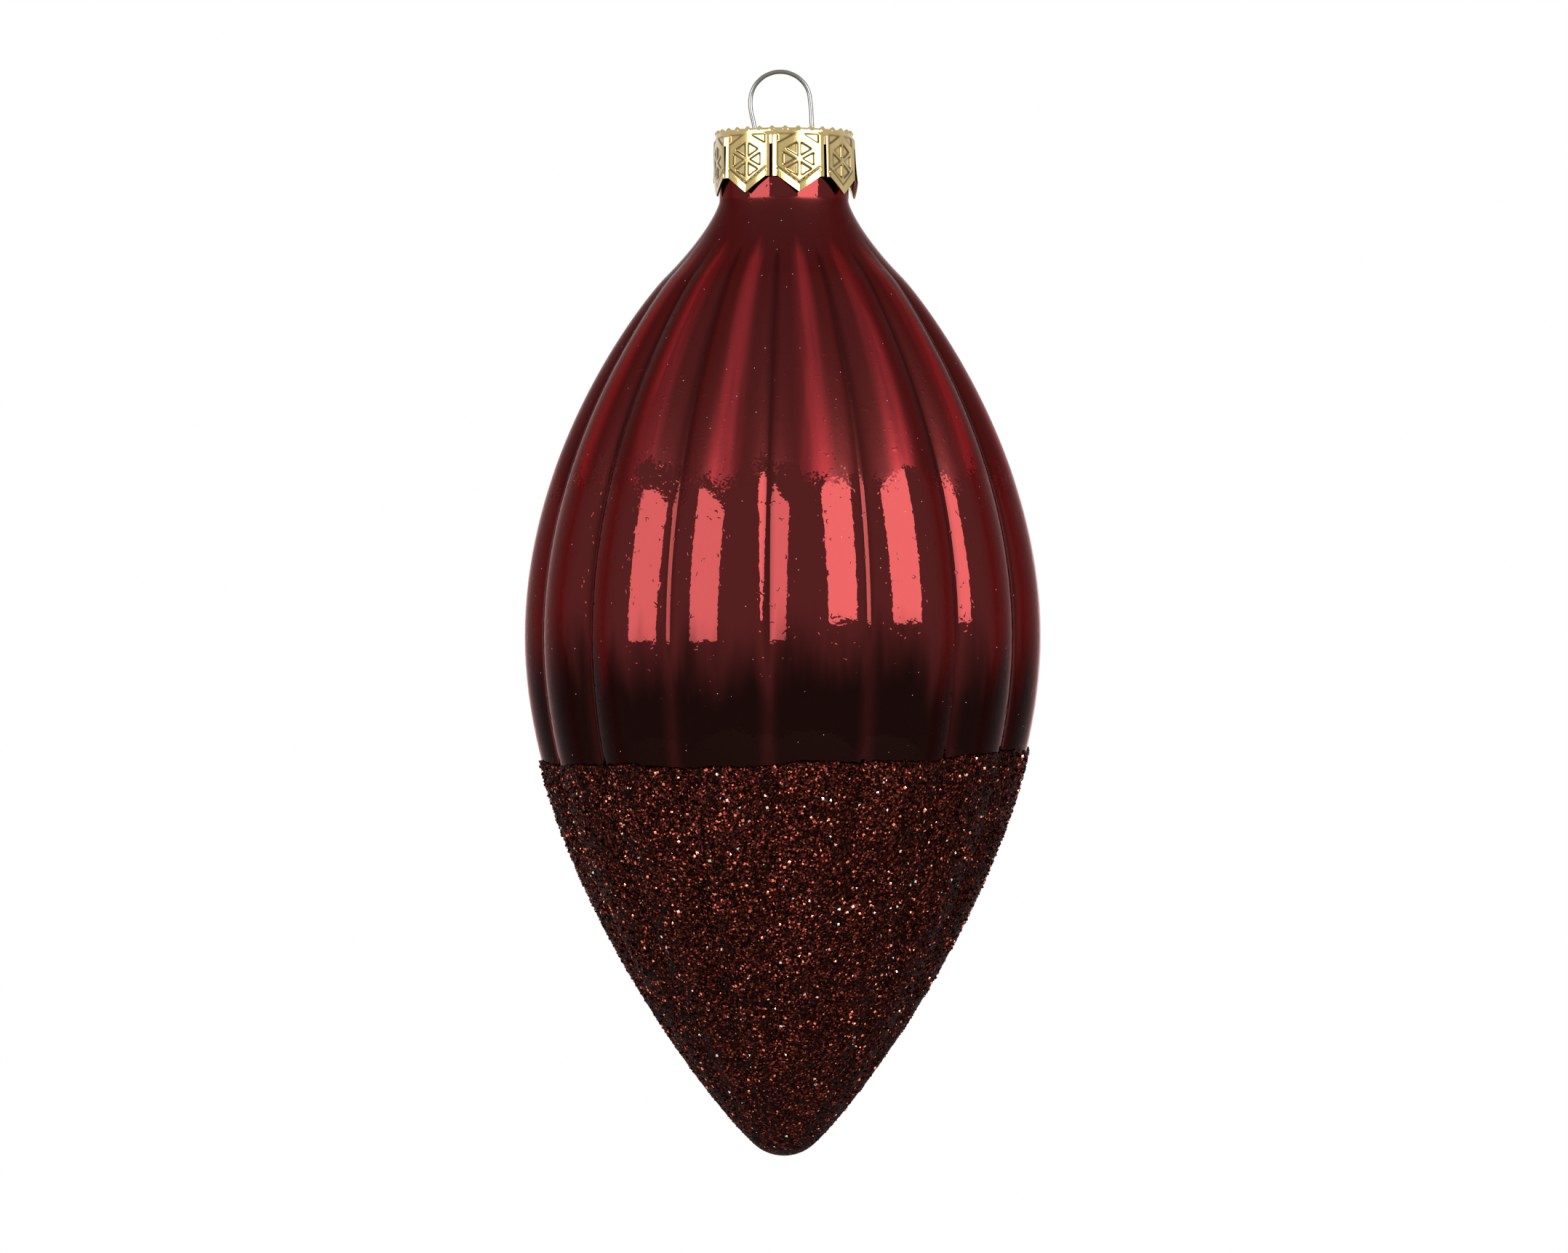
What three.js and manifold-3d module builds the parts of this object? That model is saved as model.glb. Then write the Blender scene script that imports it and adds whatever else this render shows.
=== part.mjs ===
// A blown glass bauble: a fluted, pointed olive with a glitter coat on its lower part,
// a stamped crown cap on its neck and a spring wire hanger through the cap.
// Millimetres, +Z up. The origin is the hanging eye, inside the top of the wire loop.
// Azimuth 0 is the front, -Y, and azimuth grows towards +X.

import * as THREE from "three";
import { mergeVertices } from "three/addons/utils/BufferGeometryUtils.js";
import Module from "manifold-3d";

const wasm = await Module();
wasm.setup();

// Hanger wire
const WIRE_DIAMETER = 0.6;
const WIRE_SIDES = 8;
const WIRE_STEPS = 60;
const LOOP_POINTS = 8;
const LOOP_HALF_WIDTH = 4.3;
const LOOP_LEAN = -0.5;
const LOOP_HEIGHT = 8.1;
const LEG_SPACING = 8.0;
const LEG_LENGTH = 28;
const LEG_BOW_DEPTH = 9;
const LEG_TURN_IN = 2.0;

// Cap
const CAP_SHEET = 0.25;
const CAP_HEIGHT = 8.6;
const CAP_PANELS = 8;
const CAP_PANEL_AZIMUTH = 12.3;
const CAP_FLARE = 0.2;
const PANEL_FLATNESS = 0.4;
const RIM_WIDTH = 1;
const RIM_ROLL = 0.4;
const RIM_BAND = 1;
const POINT_HEIGHT = 2.1;
const LIP_HEIGHT = 1.2;
const LIP_STAND = 0.1;
const RIB_HEIGHT = 0.2;
const SLIT_WIDTH = 0.4;
const SLIT_START = 2.2;
const KNURL_HEIGHT = 0.28;
const KNURLS_PER_PANEL = 4;
const PANEL_STEPS = 16;
const PANEL_EDGE_STEP = 6;
const SLOT_LENGTH = 2.2;
const CUTTER_OVERRUN = 0.5;

// Glass bulb
const NECK_RADIUS = 8.75;
const NECK_LENGTH = 8.5;
const NECK_WALL = 0.9;
const GLASS_WALL = 0.7;
const BULB_LENGTH = 137.1;
const BULB_RADIUS = 35.1;
const BELLY_DEPTH = 67.3;
const SHOULDER_RADIUS = 16.2;
const SHOULDER_DEPTH = 18.9;
const SHOULDER_SLOPE = 45;
const TIP_RADIUS = 5.6;
const TIP_SLOPE = 48;
const LOBES = 16;
const LOBE_DEPTH = 1.35;
const LOBE_AZIMUTH = 7.75;
const LOBE_STEPS = 6;
const INSIDE_RINGS = 0.5;
const LOBE_START = 10.5;
const LOBE_RISE = 18;
const LOBE_FADE = 14;

// Handle lengths of the three curves of the bulb's outline, as shares of each curve's height
const SHOULDER_CURVE = [0.05, 0.8];
const UPPER_BELLY_CURVE = [0.063, 0.535];
const LOWER_BELLY_CURVE = [0.442, 0.123];

// Glitter coat
const COAT_DEPTH = 83.3;
const COAT_THICKNESS = 0.25;
const COAT_WAVE = 0.7;
const COAT_WAVE_REACH = 8;

// Running and seating clearances
const CAP_CLEARANCE = 0.25;
const RIM_CLEARANCE = 0.3;
const WIRE_CLEARANCE = 0.3;
const COAT_CLEARANCE = 0.12;

// Places worked out from the sizes above
const CAP_TOP = -LOOP_HEIGHT;
const PLATE_TOP = CAP_TOP - CAP_SHEET / 2;
const PLATE_UNDERSIDE = PLATE_TOP - CAP_SHEET;
const NECK_RIM = PLATE_UNDERSIDE - RIM_CLEARANCE;
const NECK_BORE = NECK_RADIUS - NECK_WALL;
const CAP_RADIUS = NECK_RADIUS + CAP_CLEARANCE + CAP_SHEET;
const CAP_BOTTOM = CAP_TOP - CAP_HEIGHT + POINT_HEIGHT;
const PANELS_START = CAP_TOP - RIM_BAND;
const LIP_TOP = CAP_BOTTOM + LIP_HEIGHT;
const BULB_TIP = NECK_RIM - BULB_LENGTH;
const COAT_TOP = NECK_RIM - COAT_DEPTH;
const WIRE_RADIUS = WIRE_DIAMETER / 2;
const SLOT_WIDTH = WIRE_DIAMETER + 2 * WIRE_CLEARANCE;

const radians = THREE.MathUtils.degToRad;
const smoothstep = THREE.MathUtils.smoothstep;
const clamp = THREE.MathUtils.clamp;

function toSolid(geometry) {
  const bare = geometry.clone();
  bare.deleteAttribute("normal");
  bare.deleteAttribute("uv");
  const merged = mergeVertices(bare, 1e-4);
  return new wasm.Manifold(new wasm.Mesh({
    numProp: 3,
    vertProperties: new Float32Array(merged.attributes.position.array),
    triVerts: new Uint32Array(merged.index.array),
  }));
}

function toGeometry(solid) {
  const mesh = solid.getMesh();
  const geometry = new THREE.BufferGeometry();
  geometry.setAttribute("position", new THREE.BufferAttribute(mesh.vertProperties, 3));
  geometry.setIndex(new THREE.BufferAttribute(mesh.triVerts, 1));
  geometry.computeVertexNormals();
  return geometry;
}

// A profile of [radius, height] points, turned about the Z axis from a start azimuth.
function turned(profile, segments, startAzimuth) {
  const points = profile.map(([radius, height]) => new THREE.Vector2(radius, height));
  const geometry = new THREE.LatheGeometry(points, segments, radians(startAzimuth));
  return geometry.rotateX(Math.PI / 2);
}

// Moves every point of a turned shape to the radius and height that the rule gives.
function reshaped(geometry, rule) {
  const position = geometry.attributes.position;
  for (let i = 0; i < position.count; i += 1) {
    const x = position.getX(i);
    const y = position.getY(i);
    const radius = Math.hypot(x, y);
    const azimuth = THREE.MathUtils.radToDeg(Math.atan2(x, -y));
    const [newRadius, newHeight] = rule(radius, azimuth, position.getZ(i));
    const scale = radius > 0 ? newRadius / radius : 1;
    position.setXYZ(i, x * scale, y * scale, newHeight);
  }
  return geometry;
}

// Where an azimuth falls in a pattern that repeats around the axis: -0.5 to 0.5, 0 at a middle.
function placeInPattern(azimuth, copies, firstMiddle) {
  const turns = (azimuth - firstMiddle) * copies / 360;
  return turns - Math.round(turns);
}

// One stretch of the bulb's outline: a curve between two points that leaves and arrives
// along given directions.
function outlineCurve(start, startSlope, end, endSlope, handles) {
  const startReach = (start[1] - end[1]) * handles[0];
  const endReach = (start[1] - end[1]) * handles[1];
  const along = (slope) => [Math.sin(radians(slope)), -Math.cos(radians(slope))];
  const [startX, startY] = along(startSlope);
  const [endX, endY] = along(endSlope);
  return new THREE.CubicBezierCurve(
    new THREE.Vector2(...start),
    new THREE.Vector2(start[0] + startX * startReach, start[1] + startY * startReach),
    new THREE.Vector2(end[0] - endX * endReach, end[1] - endY * endReach),
    new THREE.Vector2(...end),
  );
}

// The bulb's outline from the neck rim down to the tip, as stretches with their ring counts.
function bulbStretches() {
  const crease = [NECK_RADIUS, NECK_RIM - NECK_LENGTH];
  const shoulder = [SHOULDER_RADIUS, NECK_RIM - SHOULDER_DEPTH];
  const belly = [BULB_RADIUS, NECK_RIM - BELLY_DEPTH];
  const tipCentre = BULB_TIP + TIP_RADIUS;
  const tipTurn = radians(TIP_SLOPE);
  const tipStart = [TIP_RADIUS * Math.cos(tipTurn), tipCentre - TIP_RADIUS * Math.sin(tipTurn)];
  const rim = new THREE.Vector2(NECK_RADIUS, NECK_RIM);
  const neck = new THREE.LineCurve(rim, new THREE.Vector2(...crease));
  const tip = new THREE.EllipseCurve(
    0, tipCentre, TIP_RADIUS, TIP_RADIUS, -tipTurn, -Math.PI / 2, true,
  );
  return [
    { curve: neck, rings: 1 },
    { curve: outlineCurve(crease, 0, shoulder, SHOULDER_SLOPE, SHOULDER_CURVE), rings: 4 },
    { curve: outlineCurve(shoulder, SHOULDER_SLOPE, belly, 0, UPPER_BELLY_CURVE), rings: 6 },
    { curve: outlineCurve(belly, 0, tipStart, -TIP_SLOPE, LOWER_BELLY_CURVE), rings: 8 },
    { curve: tip, rings: 3 },
  ];
}

// The outline from the tip up to the neck rim, moved out from the glass by an offset. The hidden
// inside takes a coarser share of the rings.
function bulbOutline(offset, share = 1) {
  const points = [];
  for (const { curve, rings } of bulbStretches()) {
    const steps = Math.ceil(rings * share);
    for (let i = 0; i < steps; i += 1) {
      const point = curve.getPoint(i / steps);
      const tangent = curve.getTangent(i / steps);
      points.push([point.x - tangent.y * offset, point.y + tangent.x * offset]);
    }
  }
  points.push([0, BULB_TIP - offset]);
  return points.reverse();
}

// How far the glass lies inside the lobes' crests at a place on the bulb.
function lobeDrop(radius, azimuth, height) {
  const across = 2 * placeInPattern(azimuth, LOBES, LOBE_AZIMUTH);
  const start = NECK_RIM - LOBE_START;
  const rise = 1 - smoothstep(height, start - LOBE_RISE, start);
  const fade = smoothstep(height, BULB_TIP, BULB_TIP + LOBE_FADE);
  return LOBE_DEPTH * (radius / BULB_RADIUS) * across * across * rise * fade;
}

const LOBE_VALLEY = LOBE_AZIMUTH + 180 / LOBES;

function glassBulb() {
  const outside = bulbOutline(0);
  const hollow = bulbOutline(-GLASS_WALL, INSIDE_RINGS);
  const inside = hollow.filter(([, height]) => height < NECK_RIM - NECK_LENGTH);
  const neckBore = [[NECK_BORE, NECK_RIM - NECK_LENGTH], [NECK_BORE, NECK_RIM]];
  const profile = [...outside, ...neckBore.reverse(), ...inside.reverse()];
  const shell = turned(profile, LOBES * LOBE_STEPS, LOBE_VALLEY);
  return reshaped(shell, (radius, azimuth, height) => [
    radius - lobeDrop(radius, azimuth, height),
    height,
  ]);
}

// The glitter's upper edge wanders up and down around the bulb.
function coatWave(azimuth) {
  const turn = radians(azimuth);
  return COAT_WAVE * (0.6 * Math.sin(2 * turn) + 0.4 * Math.sin(5 * turn));
}

// The outline's radius at a height, between its points.
function radiusAt(outline, height) {
  const above = outline.findIndex((point) => point[1] >= height);
  if (above <= 0) {
    return above === 0 ? outline[0][0] : outline[outline.length - 1][0];
  }
  const [lowRadius, lowHeight] = outline[above - 1];
  const [highRadius, highHeight] = outline[above];
  const share = (height - lowHeight) / (highHeight - lowHeight);
  return lowRadius + share * (highRadius - lowRadius);
}

function coatedPart(offset) {
  const outline = bulbOutline(offset);
  const covered = outline.filter(([, height]) => height < COAT_TOP - COAT_WAVE);
  return [...covered, [radiusAt(outline, COAT_TOP), COAT_TOP]];
}

function glitterCoat() {
  const inner = COAT_CLEARANCE;
  const outer = COAT_CLEARANCE + COAT_THICKNESS;
  const profile = [...coatedPart(outer), ...coatedPart(inner).reverse()];
  const layer = turned(profile, LOBES * LOBE_STEPS, LOBE_VALLEY);
  const glass = bulbOutline(0);
  return reshaped(layer, (radius, azimuth, height) => {
    const share = clamp((height - COAT_TOP + COAT_WAVE_REACH) / COAT_WAVE_REACH, 0, 1);
    const newHeight = height + share * coatWave(azimuth);
    const newRadius = radius + radiusAt(glass, newHeight) - radiusAt(glass, height);
    return [newRadius - lobeDrop(newRadius, azimuth, newHeight), newHeight];
  });
}

// How far the skirt has flared out at a height.
function flareAt(height) {
  return CAP_FLARE * (PANELS_START - height) / (PANELS_START - CAP_BOTTOM);
}

// The cap's sheet in section, from the axis on the inside to the axis on the outside: under the
// plate, down the inside of the skirt, round its lip, up the outside, over the rim and the plate.
function capProfile() {
  const middle = (PANELS_START + LIP_TOP) / 2;
  const inner = CAP_RADIUS - CAP_SHEET;
  return [
    [0, PLATE_UNDERSIDE],
    [inner, PLATE_UNDERSIDE],
    [inner, PANELS_START],
    [inner + flareAt(LIP_TOP), LIP_TOP],
    [inner + CAP_FLARE + LIP_STAND, CAP_BOTTOM],
    [CAP_RADIUS + CAP_FLARE + LIP_STAND, CAP_BOTTOM],
    [CAP_RADIUS + flareAt(LIP_TOP), LIP_TOP],
    [CAP_RADIUS + flareAt(middle), middle],
    [CAP_RADIUS, PANELS_START],
    [CAP_RADIUS, CAP_TOP - RIM_ROLL],
    [CAP_RADIUS - RIM_ROLL, CAP_TOP],
    [CAP_RADIUS - RIM_WIDTH, PLATE_TOP],
    [0, PLATE_TOP],
  ];
}

// The crown's shape around the axis: a knurled rim over flattened panels with pointed lower
// ends, and a rib along each side of every slit.
function shapeCrown(radius, azimuth, height) {
  if (radius < CAP_RADIUS - RIM_WIDTH + CAP_SHEET) {
    return [radius, height];
  }
  if (height > CAP_TOP - RIM_ROLL - CAP_SHEET / 2) {
    const knurls = CAP_PANELS * KNURLS_PER_PANEL;
    const turn = 2 * Math.PI * placeInPattern(azimuth, knurls, CAP_PANEL_AZIMUTH);
    const bump = KNURL_HEIGHT * Math.max(0, Math.cos(turn));
    return [radius + bump / 2, height + bump];
  }
  const place = Math.abs(placeInPattern(azimuth, CAP_PANELS, CAP_PANEL_AZIMUTH));
  const edge = PANEL_EDGE_STEP / PANEL_STEPS;
  const across = Math.min(place, edge);
  const shaped = clamp((CAP_TOP - height) / (2 * RIM_BAND), 0, 1);
  const flat = PANEL_FLATNESS * radius * (1 / Math.cos(across * radians(360 / CAP_PANELS)) - 1);
  const rib = RIB_HEIGHT * Math.max(0, 1 - Math.abs(place * PANEL_STEPS - PANEL_EDGE_STEP - 1));
  const middle = (PANELS_START + LIP_TOP) / 2;
  const lowered = clamp((middle - height) / (middle - LIP_TOP), 0, 1);
  const point = POINT_HEIGHT * (1 - across / edge) * lowered;
  return [radius + shaped * (flat + rib), height - point];
}

function crownSlits() {
  const deep = 4 * (CAP_CLEARANCE + CAP_SHEET + CAP_FLARE);
  const slits = [];
  for (let i = 0; i < CAP_PANELS; i += 1) {
    const azimuth = radians(CAP_PANEL_AZIMUTH + (i + 0.5) * 360 / CAP_PANELS);
    const slit = new THREE.BoxGeometry(SLIT_WIDTH, deep, CAP_HEIGHT);
    slit.translate(0, -CAP_RADIUS, CAP_TOP - SLIT_START - CAP_HEIGHT / 2);
    slit.rotateZ(azimuth);
    slits.push(slit);
  }
  return slits;
}

// The round-ended slot in the plate that one leg of the wire passes through.
function plateSlot(side) {
  const half = SLOT_WIDTH / 2;
  const reach = SLOT_LENGTH / 2 - half;
  const outline = new THREE.Shape();
  outline.absarc(reach, 0, half, -Math.PI / 2, Math.PI / 2, false);
  outline.absarc(-reach, 0, half, Math.PI / 2, Math.PI * 1.5, false);
  outline.closePath();
  const slot = new THREE.ExtrudeGeometry(outline, {
    depth: CAP_SHEET + 2 * CUTTER_OVERRUN, bevelEnabled: false, curveSegments: 6,
  });
  return slot.translate(side * LEG_SPACING / 2, 0, PLATE_UNDERSIDE - CUTTER_OVERRUN);
}

function crownCap() {
  const sheet = turned(capProfile(), CAP_PANELS * PANEL_STEPS, CAP_PANEL_AZIMUTH);
  let cap = toSolid(reshaped(sheet, shapeCrown));
  for (const cutter of [...crownSlits(), plateSlot(-1), plateSlot(1)]) {
    cap = cap.subtract(toSolid(cutter));
  }
  return toGeometry(cap);
}

// The wire's centre line, from the end of the left leg over the loop to the right leg's end.
function wirePath() {
  const bow = NECK_BORE - WIRE_CLEARANCE - WIRE_RADIUS;
  const slot = LEG_SPACING / 2;
  const leg = (side) => [
    [side * (bow - LEG_TURN_IN), PLATE_TOP - LEG_LENGTH],
    [side * (bow - LEG_TURN_IN / 3), PLATE_TOP - (LEG_LENGTH + LEG_BOW_DEPTH) / 2],
    [side * bow, PLATE_TOP - LEG_BOW_DEPTH],
    [side * (slot + (bow - slot) / 2), PLATE_TOP - LEG_BOW_DEPTH / 2],
    [side * slot, PLATE_TOP - CAP_SHEET],
  ];
  const loop = [];
  const radius = LOOP_HALF_WIDTH - Math.abs(LOOP_LEAN) / 2;
  for (let i = 0; i <= LOOP_POINTS; i += 1) {
    const turn = Math.PI * (1 - i / LOOP_POINTS);
    loop.push([
      LOOP_LEAN + radius * Math.cos(turn),
      WIRE_RADIUS - radius + radius * Math.sin(turn),
    ]);
  }
  const points = [...leg(-1), ...loop, ...leg(1).reverse()];
  return new THREE.CatmullRomCurve3(points.map(([x, z]) => new THREE.Vector3(x, 0, z)));
}

function hangerWire() {
  const section = new THREE.Shape();
  for (let i = 0; i < WIRE_SIDES; i += 1) {
    const turn = 2 * Math.PI * (i + 0.5) / WIRE_SIDES;
    const corner = [WIRE_RADIUS * Math.cos(turn), WIRE_RADIUS * Math.sin(turn)];
    if (i === 0) {
      section.moveTo(...corner);
    } else {
      section.lineTo(...corner);
    }
  }
  section.closePath();
  return new THREE.ExtrudeGeometry(section, { steps: WIRE_STEPS, extrudePath: wirePath() });
}

function piece(name, geometry, color, roughness, metalness) {
  const material = new THREE.MeshStandardMaterial({ color, roughness, metalness });
  const mesh = new THREE.Mesh(geometry, material);
  mesh.name = name;
  return mesh;
}

const bauble = new THREE.Group();
bauble.name = "glass_bauble";
bauble.add(piece("glass_bulb", glassBulb(), 0x6e1420, 0.08, 0.6));
bauble.add(piece("glitter_coat", glitterCoat(), 0x6b1f1c, 0.6, 0.4));
bauble.add(piece("crown_cap", crownCap(), 0xd9c07a, 0.2, 1));
bauble.add(piece("hanger_wire", hangerWire(), 0xb8b8b4, 0.25, 1));

export default bauble;
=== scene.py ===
"""A glass bauble: a fluted, pointed olive of lacquered mirror glass with a glitter coat on its
lower part, a stamped crown cap on its neck and a spring wire hanger.

Metres, +Z up. The origin is the hanging eye, inside the top of the wire loop. Azimuth 0 is the
front, -Y, and azimuth grows towards +X.
"""

import math
from functools import partial

import bmesh
import bpy
import numpy as np
from bpy.props import FloatProperty, FloatVectorProperty, IntProperty, PointerProperty
from mathutils import Matrix, Vector, geometry, noise


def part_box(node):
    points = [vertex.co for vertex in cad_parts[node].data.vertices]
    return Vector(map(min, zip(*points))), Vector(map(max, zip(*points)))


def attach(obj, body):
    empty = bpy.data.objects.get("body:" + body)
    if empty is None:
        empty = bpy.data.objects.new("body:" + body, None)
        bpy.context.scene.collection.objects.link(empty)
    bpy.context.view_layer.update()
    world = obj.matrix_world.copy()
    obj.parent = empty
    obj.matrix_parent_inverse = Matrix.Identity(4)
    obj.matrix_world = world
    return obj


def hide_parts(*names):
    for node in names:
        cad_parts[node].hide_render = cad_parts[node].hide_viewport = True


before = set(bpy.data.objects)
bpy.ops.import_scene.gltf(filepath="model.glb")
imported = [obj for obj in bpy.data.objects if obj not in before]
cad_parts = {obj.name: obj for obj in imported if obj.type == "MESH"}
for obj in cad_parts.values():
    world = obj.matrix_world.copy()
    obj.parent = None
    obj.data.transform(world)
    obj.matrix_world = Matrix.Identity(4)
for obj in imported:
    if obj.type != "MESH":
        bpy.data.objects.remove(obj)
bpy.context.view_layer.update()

bl_info = {
    "name": "Glass bauble",
    "version": (1, 0, 0),
    "blender": (4, 5, 0),
    "location": "3D View > Sidebar > Bauble",
    "description": "Models a fluted glass bauble with glitter, a crown cap and a wire hanger",
    "category": "Add Mesh",
}

MM = 0.001
WELD = 1e-7
PHOTO_WIDTH_PX = 2156
GLASS_LOW, GLASS_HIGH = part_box("glass_bulb")
WHITE = (1.0, 1.0, 1.0, 1.0)
GRAIN_RISE = 0.12 * MM
GRAIN_LEAN = 1.5
EDGE_RIPPLE = 0.25 * MM
RECESS = "recess"
ACROSS = "across"
TONE = "tone"


def linear(hex_colour):
    """An sRGB hex colour as linear red, green and blue."""
    channels = [int(hex_colour[i:i + 2], 16) / 255 for i in (1, 3, 5)]
    return tuple(c / 12.92 if c <= 0.04045 else ((c + 0.055) / 1.055) ** 2.4 for c in channels)


def length(name, description, millimetres):
    """A length setting, written in millimetres and kept in metres."""
    return FloatProperty(
        name=name, description=description, default=millimetres * MM,
        min=0.0, precision=5, unit="LENGTH", subtype="DISTANCE",
    )


def angle(name, description, degrees):
    """An angle setting, written in degrees and kept in radians."""
    return FloatProperty(
        name=name, description=description, default=math.radians(degrees),
        unit="ROTATION", subtype="ANGLE",
    )


def colour(name, description, hex_colour):
    """A colour setting, written as sRGB hex and kept linear."""
    return FloatVectorProperty(
        name=name, description=description, default=linear(hex_colour),
        size=3, min=0.0, max=1.0, subtype="COLOR",
    )


class BulbSizes(bpy.types.PropertyGroup):
    """The blown glass."""

    radius: length("Radius", "Over the lobes' crests, at the widest", 35.1)
    neck_radius: length("Neck radius", "Outside of the straight neck", 8.75)
    neck_length: length("Neck length", "From the rim to the crease under the neck", 8.5)
    shoulder_radius: length("Shoulder radius", "Where the shoulder is steepest", 16.2)
    shoulder_depth: length("Shoulder depth", "From the rim to the steepest shoulder", 18.9)
    belly_depth: length("Belly depth", "From the rim to the widest place", 67.3)
    tip_radius: length("Tip radius", "Rounding of the tip", 5.6)
    wall: length("Wall", "Thickness of the blown glass", 0.7)
    neck_wall: length("Neck wall", "Thickness of the glass in the neck", 0.9)
    lobe_depth: length("Lobe depth", "From a lobe's crest to its valley, before the fillet", 1.3)
    lobe_count: IntProperty(name="Lobes", description="Flutes around the bulb", default=16, min=3)
    lobe_azimuth: angle("Lobe azimuth", "Middle of the first lobe", 7.75)
    lobe_start: length("Lobe start", "From the rim to where the lobes begin", 10.5)
    lobe_rise: length("Lobe rise", "Height over which the lobes grow to full depth", 18.0)
    lobe_fade: length("Lobe fade", "Height over which the lobes vanish at the tip", 14.0)
    valley_share: FloatProperty(
        name="Valley fillet", description="Filleted share of half a lobe's width",
        default=0.05, min=0.01, max=0.5, subtype="FACTOR",
    )


class GlitterSizes(bpy.types.PropertyGroup):
    """The glitter coat."""

    depth: length("Depth", "From the neck rim to the coat's mean upper edge", 83.1)
    film: length("Film", "Thickness of the adhesive film with its bed of grains", 0.25)
    lift: length("Lift", "Gap that the film keeps to the glass", 0.1)
    grain: length("Grain", "Width of a loose grain", 0.4)
    grain_count: IntProperty(name="Grains", description="Grains that stand proud", default=21000)
    edge_wander: length("Edge wander", "How far the upper edge leans from side to side", 0.85)


class CapSizes(bpy.types.PropertyGroup):
    """The stamped crown cap."""

    radius: length("Radius", "Outside of the skirt under the rim", 9.25)
    sheet: length("Sheet", "Thickness of the metal", 0.25)
    height: length("Height", "From the rim to the points", 8.6)
    rim_roll: length("Rim roll", "Rounding of the rim", 0.4)
    rim_width: length("Rim width", "Width of the raised rim on the plate", 1.0)
    knurl: length("Knurl", "Height of the knurls on the rim", 0.28)
    flare: length("Flare", "How far the skirt widens to its lower edge", 0.2)
    point: length("Point", "Height of each panel's pointed end", 2.1)
    lip: length("Lip", "Width of the bevelled lip round a point", 1.0)
    rib: length("Rib", "Height of the ribs beside the slits", 0.2)
    slit: length("Slit", "Width of the slits between the panels", 0.4)
    slit_start: length("Slit start", "From the rim to the top of a slit", 2.2)
    slot_length: length("Slot length", "Length of a hanger slot", 2.2)
    slot_width: length("Slot width", "Width of a hanger slot", 1.2)
    slot_spacing: length("Slot spacing", "Between the middles of the hanger slots", 8.0)
    relief: length("Relief", "Depth of the stamped snowflake", 0.14)
    panels: IntProperty(name="Panels", description="Panels around the crown", default=8, min=4)
    panel_azimuth: angle("Panel azimuth", "Middle of the first panel", 12.3)


class WireSizes(bpy.types.PropertyGroup):
    """The spring wire hanger."""

    diameter: length("Diameter", "Of the wire", 0.6)
    loop_half_width: length("Loop half width", "To the wire's middle", 4.3)
    loop_lean: length("Loop lean", "How far the loop is bent to the left", 0.5)
    leg_length: length("Leg length", "Below the cap's plate", 28.0)
    bow_depth: length("Bow depth", "From the plate to where the legs are widest", 9.0)
    turn_in: length("Turn in", "How far the legs' ends come back in", 2.0)
    clearance: length("Clearance", "Between the wire and the neck's bore", 0.3)


class Finishes(bpy.types.PropertyGroup):
    """The colours of the bauble's finishes."""

    lacquer: colour("Lacquer", "Burgundy lacquer over the bright silvering", "#541D1D")
    lacquer_edge: colour("Lacquer edge", "The longer way through the lacquer at a slant", "#BE343A")
    lacquer_satin: colour("Satin lacquer", "Lacquer over the duller silvering", "#451717")
    # Painted highlight: the lighter streaks on the satin's crests.
    satin_painted_highlight: colour("Painted satin highlight", "Where it drew off the crests of the satin", "#782428")
    # The lacquer run under the belly, which is also painted dark reflection, and the painted shade in
    # the valleys.
    lacquer_run_and_shade: colour("Lacquer run and painted shade", "Where it ran together, as above the glitter", "#1A0907")
    dust: colour("Dust", "Specks of dust on the lacquer", "#B9AFAB")
    glitter_dark: colour("Glitter shadow", "Glue and shaded grains", "#180907")
    glitter_red: colour("Glitter red", "Most of the grains", "#54201A")
    glitter_copper: colour("Glitter copper", "The brighter grains", "#A24A3A")
    # Painted glint: the bright colour given to the few grains that flash.
    glitter_painted_glint: colour("Glitter flash", "The few brightest grains", "#EC8468")
    gilt: colour("Gilt", "Plating of the cap", "#C4AE7C")
    gilt_shade: colour("Gilt shade", "Thinner plating", "#AE9862")
    # Painted shade along the cap's stamped recesses, beside its raised lines.
    relief_shade: colour("Painted relief shade", "Dirt and tarnish beside the cap's raised lines", "#4E3A18")
    steel: colour("Steel", "The hanger's wire", "#73726F")


class StudioSettings(bpy.types.PropertyGroup):
    """Camera and lights."""

    distance: length("Camera distance", "From the camera to the bauble's axis", 660.0)
    centre_height: FloatProperty(
        name="Centre height", description="Height of the picture's middle", default=-74.7 * MM,
        unit="LENGTH", subtype="DISTANCE",
    )
    scale: FloatProperty(
        name="Scale", description="Picture pixels per millimetre at the axis", default=10.17,
    )
    floor_depth: length("Floor depth", "From the hanging eye down to the floor", 200.0)
    floor_radius: length("Floor radius", "Of the round board", 300.0)
    left_strength: FloatProperty(name="Left box", description="Radiance of the left box", default=7.0)
    right_strength: FloatProperty(name="Right box", description="Radiance of the right box", default=8.8)
    fill: FloatProperty(
        name="Fill", description="Strength of the even light from all around",
        default=0.03, min=0.0, max=1.0, subtype="FACTOR",
    )


def smooth(low, high, value):
    """0 below low, 1 above high, and an even curve between."""
    share = min(max((value - low) / (high - low), 0.0), 1.0)
    return share * share * (3 - 2 * share)


def soft_min(first, second, rounding):
    """The lesser of two numbers, with the corner between them rounded."""
    return -rounding * math.log(math.exp(-first / rounding) + math.exp(-second / rounding))


def place_in_pattern(azimuth, copies, first_middle):
    """Where an azimuth falls in a pattern around the axis: -0.5 to 0.5, 0 at a middle."""
    turns = (azimuth - first_middle) * copies / math.tau
    return turns - round(turns)


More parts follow.
